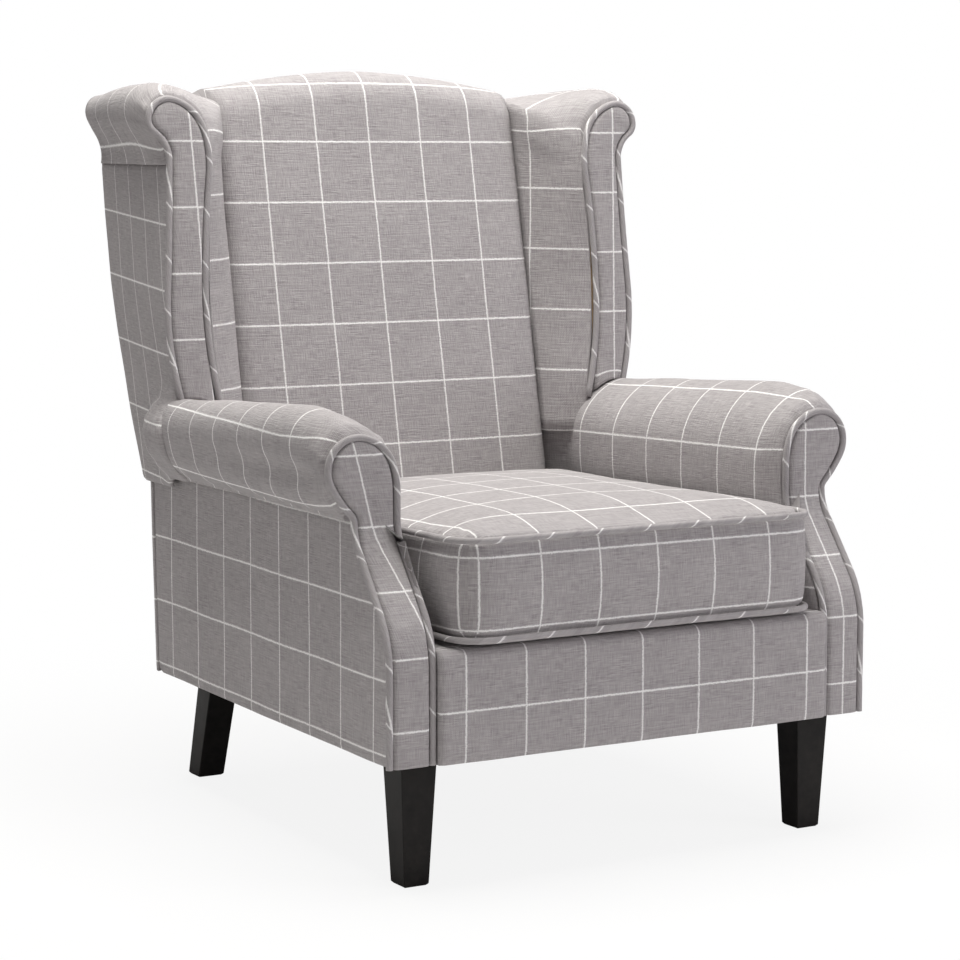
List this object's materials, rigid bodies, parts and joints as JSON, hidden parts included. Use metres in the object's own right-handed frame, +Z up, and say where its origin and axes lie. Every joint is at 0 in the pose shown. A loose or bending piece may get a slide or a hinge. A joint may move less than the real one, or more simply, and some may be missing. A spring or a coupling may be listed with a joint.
{
  "type": "wing armchair",
  "caption": "Upholstered wing armchair in a checked fabric: fixed raked back with scrolled wings, rolled arms with piped front panels, loose box cushion and tapered black legs.",
  "frame": {"origin": "on the floor under the middle of the chair's bounding box", "axes": "+Z up, the sitter looks along -Y, +X is the sitter's left"},
  "size_m": [0.8302, 0.9772, 1.043],
  "materials": {
    "check_fabric": "mid grey slub weave with a thin white windowpane check",
    "piping_fabric": "the same weave, cut on the bias round a cord",
    "leg_black": "black satin lacquer",
    "frame_timber": "sawn hardwood",
    "zinc_steel": "zinc plated",
    "webbing": "elastic webbing",
    "dust_cloth": "black non-woven cloth",
    "deck_cloth": "plain grey lining cloth",
    "zip_tape": "woven tape with moulded coil",
    "zip_metal": "grey enamel"
  },
  "bodies": {
    "chair": {"arm_facing_left": "check_fabric", "arm_facing_right": "check_fabric", "arm_pad_left": "check_fabric", "arm_pad_right": "check_fabric", "arm_piping_left": "piping_fabric", "arm_piping_right": "piping_fabric", "arm_post_left": "frame_timber", "arm_post_right": "frame_timber", "arm_rail_left": "frame_timber", "arm_rail_right": "frame_timber", "back_pad": "check_fabric", "back_post_left": "frame_timber", "back_post_right": "frame_timber", "crest_rail": "frame_timber", "dust_cover": "dust_cloth", "front_corner_block_left": "frame_timber", "front_corner_block_right": "frame_timber", "front_leg_bolt_left": "zinc_steel", "front_leg_bolt_right": "zinc_steel", "front_leg_left": "leg_black", "front_leg_right": "leg_black", "front_rail": "frame_timber", "front_rail_cover": "check_fabric", "lower_back_rail": "frame_timber", "outside_arm_left": "check_fabric", "outside_arm_right": "check_fabric", "outside_back": "check_fabric", "outside_wing_left": "check_fabric", "outside_wing_right": "check_fabric", "rear_corner_block_left": "frame_timber", "rear_corner_block_right": "frame_timber", "rear_leg_bolt_left": "zinc_steel", "rear_leg_bolt_right": "zinc_steel", "rear_leg_left": "leg_black", "rear_leg_right": "leg_black", "rear_rail": "frame_timber", "seat_deck": "deck_cloth", "side_rail_left": "frame_timber", "side_rail_right": "frame_timber", "webbing_1": "webbing", "webbing_2": "webbing", "webbing_3": "webbing", "wing_facing_left": "check_fabric", "wing_facing_right": "check_fabric", "wing_pad_left": "check_fabric", "wing_pad_right": "check_fabric", "wing_piping_left": "piping_fabric", "wing_piping_right": "piping_fabric", "wing_post_left": "frame_timber", "wing_post_right": "frame_timber", "wing_rail_left": "frame_timber", "wing_rail_right": "frame_timber", "wing_scroll_left": "check_fabric", "wing_scroll_right": "check_fabric"},
    "cushion": {"cushion": "check_fabric", "cushion_piping_top": "piping_fabric", "cushion_piping_bottom": "piping_fabric", "zip": "zip_tape"},
    "zip_slider": {"zip_slider": "zip_metal"}
  },
  "joints": [
    {"name": "cushion_lift", "type": "slide", "parent": "chair", "child": "cushion", "axis": [0, 0, 1], "range_m": [0, 0.45]},
    {"name": "zip_slide", "type": "slide", "parent": "cushion", "child": "zip_slider", "axis": [-1, 0, 0], "range_m": [0, 0.4]}
  ]
}
